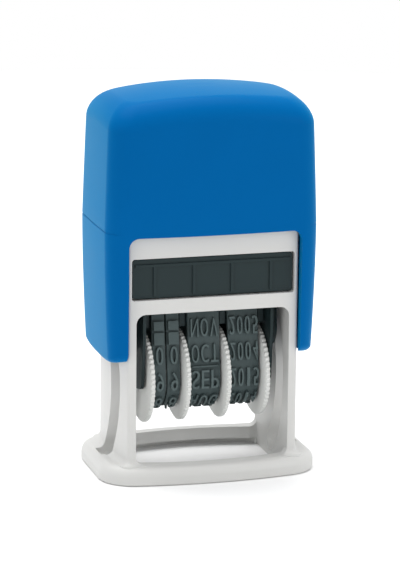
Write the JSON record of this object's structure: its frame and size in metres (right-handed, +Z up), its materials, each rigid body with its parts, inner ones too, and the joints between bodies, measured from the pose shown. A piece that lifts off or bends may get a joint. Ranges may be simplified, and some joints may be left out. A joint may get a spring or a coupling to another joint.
{
  "type": "self-inking date stamp",
  "caption": "Self-inking date stamp: a press cap over an open frame turns a unit of rubber date bands over from the ink felt to the paper.",
  "frame": {"origin": "middle of the base ring's underside, on the paper", "axes": "+Z up through the cap, +X to the right along the bands' axle, +Y to the back"},
  "size_m": [0.0468, 0.0318, 0.0817],
  "materials": {
    "frame_plastic": "light grey satin moulded plastic",
    "cap_plastic": "blue semi-gloss moulded plastic",
    "dark_plastic": "dark grey matte moulded plastic",
    "wheel_plastic": "pale grey moulded plastic",
    "band_rubber": "dark grey moulded rubber",
    "cushion_rubber": "black soft rubber",
    "steel": "plain drawn steel",
    "felt": "ink-soaked black felt"
  },
  "bodies": {
    "frame": {"frame": "frame_plastic", "return_spring": "steel"},
    "cap": {"cap": "cap_plastic", "cap_bridge": "dark_plastic"},
    "date_unit": {"band_carrier": "dark_plastic", "day_cushion": "cushion_rubber", "month_cushion": "cushion_rubber", "year_cushion": "cushion_rubber", "wheel_axle": "steel", "tens_band": "band_rubber", "ones_band": "band_rubber", "month_band": "band_rubber", "year_band": "band_rubber", "left_flip_crank": "dark_plastic", "right_flip_crank": "dark_plastic"},
    "tens_dial": {"tens_wheel": "wheel_plastic"},
    "ones_dial": {"ones_wheel": "wheel_plastic"},
    "month_dial": {"month_wheel": "wheel_plastic"},
    "year_dial": {"year_wheel": "wheel_plastic"},
    "ink_cartridge": {"ink_tray": "dark_plastic", "ink_felt": "felt"}
  },
  "joints": [
    {"name": "press", "type": "slide", "parent": "frame", "child": "cap", "axis": [0, 0, -1], "range_m": [0, 0.02], "stiffness_N_per_m": 300, "springref_m": -0.01, "deforming": ["return_spring"]},
    {"name": "flip", "type": "hinge", "parent": "cap", "child": "date_unit", "pos_m": [0, 0, 0.02955], "axis": [1, 0, 0], "range_deg": [0, 180]},
    {"name": "tens_turn", "type": "hinge", "parent": "date_unit", "child": "tens_dial", "pos_m": [-0.01243, 0, 0.02005], "axis": [1, 0, 0], "continuous": true},
    {"name": "ones_turn", "type": "hinge", "parent": "date_unit", "child": "ones_dial", "pos_m": [-0.00463, 0, 0.02005], "axis": [1, 0, 0], "continuous": true},
    {"name": "month_turn", "type": "hinge", "parent": "date_unit", "child": "month_dial", "pos_m": [0.00413, 0, 0.02005], "axis": [1, 0, 0], "continuous": true},
    {"name": "year_turn", "type": "hinge", "parent": "date_unit", "child": "year_dial", "pos_m": [0.01258, 0, 0.02005], "axis": [1, 0, 0], "continuous": true},
    {"name": "cartridge_slide", "type": "slide", "parent": "frame", "child": "ink_cartridge", "axis": [0, 1, 0], "range_m": [-0.02, 0]}
  ],
  "couplings": [
    {"joint": "flip", "follows": "press", "rad_per_m": 157.08}
  ]
}
